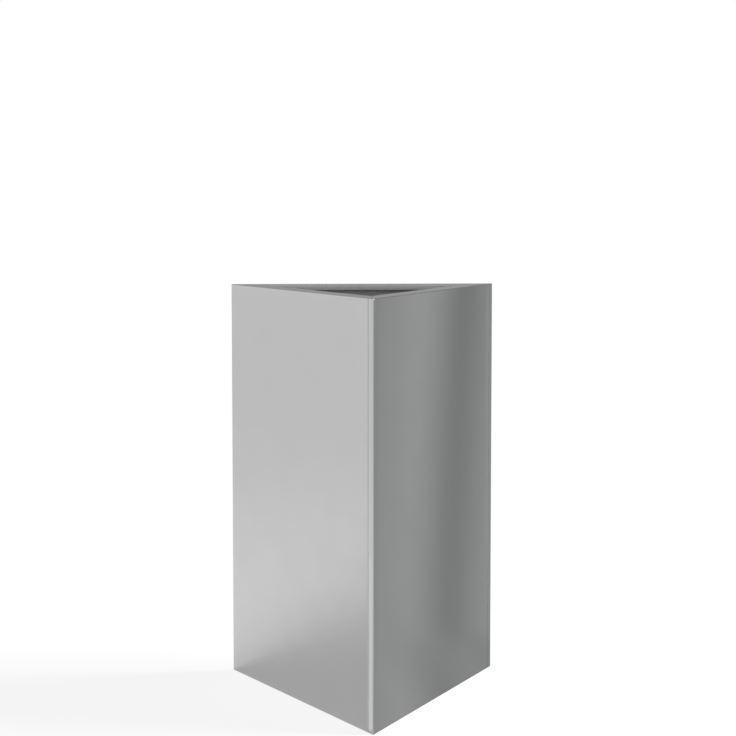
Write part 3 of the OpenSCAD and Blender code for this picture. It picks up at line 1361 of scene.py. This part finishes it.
@dataclass(frozen=True)
class Studio:
    """A plain white floor and room with one soft light, and the cards that the steel reflects."""

    sizes: PlanterSizes
    white: str = "#FFFFFF"
    floor_size: float = 60.0

    # How much white the floor adds and how much light it shows, to the eye and then in the steel
    floor_glow: float = 0.89
    floor_share: float = 0.11
    mirrored_glow: float = 0.48
    mirrored_share: float = 0.51

    # Distances between which the mirrored floor turns plain, and how bright it is past them
    pool: tuple[float, float] = (1.9, 2.4)
    past_pool: float = 0.83

    # Distances from the planter's middle between which the ground turns from a grey painted shadow under the
    # planter to white
    painted_shadow_reach: tuple[float, float] = (0.125, 0.140)
    painted_shadow_colour: str = "#808080"

    # How bright the room is to the eye, in the steel and as light
    room_seen: float = 1.0
    room_mirrored: float = 0.92
    room_light: float = 0.10

    sun: Sun = Sun()
    cards: tuple[Card, ...] = (
        Card(
            "right_card", (0.503, 0.243, 0.62), (0.80, 1.40), -57.3, roll_degrees=3.0, tint="#FBFFFF",
            greys=(
                (0.0, 0.34), (0.33, 0.43), (0.38, 0.33), (0.425, 0.22),
                (0.50, 0.52), (0.54, 0.52), (0.65, 0.35), (1.0, 0.35),
            ),
        ),
        Card(
            "right_floor_card", (0.2417, 0.0674, 0.001), (0.872, 0.70), -60.0,
            lean_degrees=0.0, tint="#FBFFFF",
            greys=(
                (0.0, 0.34), (0.35, 0.35), (0.40, 0.38), (0.485, 0.33),
                (0.575, 0.47), (0.70, 0.37), (1.0, 0.34),
            ),
        ),
        Card("back_card", (0.05, 0.95, 1.75), (1.6, 2.0), 0.0, even(0.36)),
        Card("corner_card", (-0.0217, -0.2019, 0.145), (0.0085, 0.31), 62.9, even(0.98)),
    )

    def seen(self, tree: bpy.types.NodeTree) -> bpy.types.Node:
        """Gives 1 for a ray from the camera or through glass and 0 for any other.

        Args:
            tree: the node tree that needs it.

        Returns:
            The node that gives it.
        """
        path = add_node(tree, "LightPath").outputs
        rays = {"i0": path["Is Camera Ray"], "i1": path["Is Transmission Ray"]}
        return add_node(tree, "Math", {"operation": "MAXIMUM"}, **rays)

    def room(self) -> None:
        """Makes the world: white to the eye and in the steel, and a plain fill light."""
        world = bpy.data.worlds.new("white_room")
        world.use_nodes = True
        tree = world.node_tree
        tree.nodes.clear()
        mirror = add_node(tree, "LightPath").outputs["Is Glossy Ray"]
        hidden = add_node(tree, "Mix", i0=mirror, i2=self.room_light, i3=self.room_mirrored)
        level = add_node(tree, "Mix", i0=self.seen(tree), i2=hidden, i3=self.room_seen)
        sky = add_node(tree, "Background", Color=linear(self.white), Strength=level)
        add_node(tree, "OutputWorld", Surface=sky)
        bpy.context.scene.world = world

    def part_lit(self, tree: bpy.types.NodeTree, share: float, glow: float) -> bpy.types.Node:
        """Adds a white surface that shows light and shadow in part.

        Args:
            tree: the floor's node tree.
            share: how much of the light it shows.
            glow: how much white it adds.

        Returns:
            Its shader.
        """
        lit = add_node(tree, "BsdfDiffuse", Color=(share, share, share, 1.0))
        plain = add_node(tree, "Emission", Color=linear(self.white), Strength=glow)
        return add_node(tree, "AddShader", i0=lit, i1=plain)

    def ground(self) -> bpy.types.Material:
        """Makes the floor's surface: the planter's shadow faint to the eye and fuller in the steel, and a
        painted shadow under it.

        Returns:
            The material.
        """
        material, tree = start_material("matt_white_floor")
        place = add_node(tree, "TexCoord").outputs["Object"]
        away = add_node(tree, "VectorMath", {"operation": "LENGTH"}, i0=place)
        pool = {"From_Min": self.pool[0], "From_Max": self.pool[1]}
        dim = add_node(tree, "MapRange", {"interpolation_type": "SMOOTHSTEP"}, Value=away, **pool)
        near = self.part_lit(tree, self.mirrored_share, self.mirrored_glow)
        past = add_node(tree, "Emission", Color=linear(self.white), Strength=self.past_pool)
        mirrored = add_node(tree, "MixShader", i0=dim, i1=near, i2=past)
        to_eye = self.part_lit(tree, self.floor_share, self.floor_glow)
        surface = add_node(tree, "MixShader", i0=self.seen(tree), i1=mirrored, i2=to_eye)
        # Under the planter the ground is grey, a painted shadow that keeps the drain holes dark.
        middle = (0.0, self.sizes.middle_y, 0.0)
        from_middle = add_node(tree, "VectorMath", {"operation": "DISTANCE"}, i0=place, i1=middle)
        under = {"From_Min": self.painted_shadow_reach[0], "From_Max": self.painted_shadow_reach[1]}
        outside_painted_shadow = add_node(tree, "MapRange", Value=from_middle, **under)
        painted_shadow_ground = add_node(tree, "BsdfDiffuse", Color=linear(self.painted_shadow_colour))
        whole = add_node(tree, "MixShader", i0=outside_painted_shadow, i1=painted_shadow_ground, i2=surface)
        add_node(tree, "OutputMaterial", Surface=whole)
        return material

    def build(self) -> None:
        """Builds the room, the floor, the light and the cards."""
        self.room()
        add_rectangle("floor", (self.floor_size, self.floor_size), self.ground())
        self.sun.build()
        for card in self.cards:
            card.build()


def main() -> None:
    """Builds the planter and its studio, and reports each piece."""
    sizes = PlanterSizes()
    PhotoCamera().build()
    pieces = [FoldedWall(sizes, side).build() for side in Side]
    pieces.append(BaseTray(sizes).build())
    pieces += Fasteners(sizes).build()
    for piece in pieces:
        LOG.info("%s: %d faces", piece.name, len(piece.data.polygons))
    Studio(sizes).build()
    scene = bpy.context.scene
    scene.view_settings.view_transform = "Standard"
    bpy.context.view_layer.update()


if __name__ == "__main__":
    logging.basicConfig(level=logging.INFO, format="%(name)s: %(message)s")
    main()
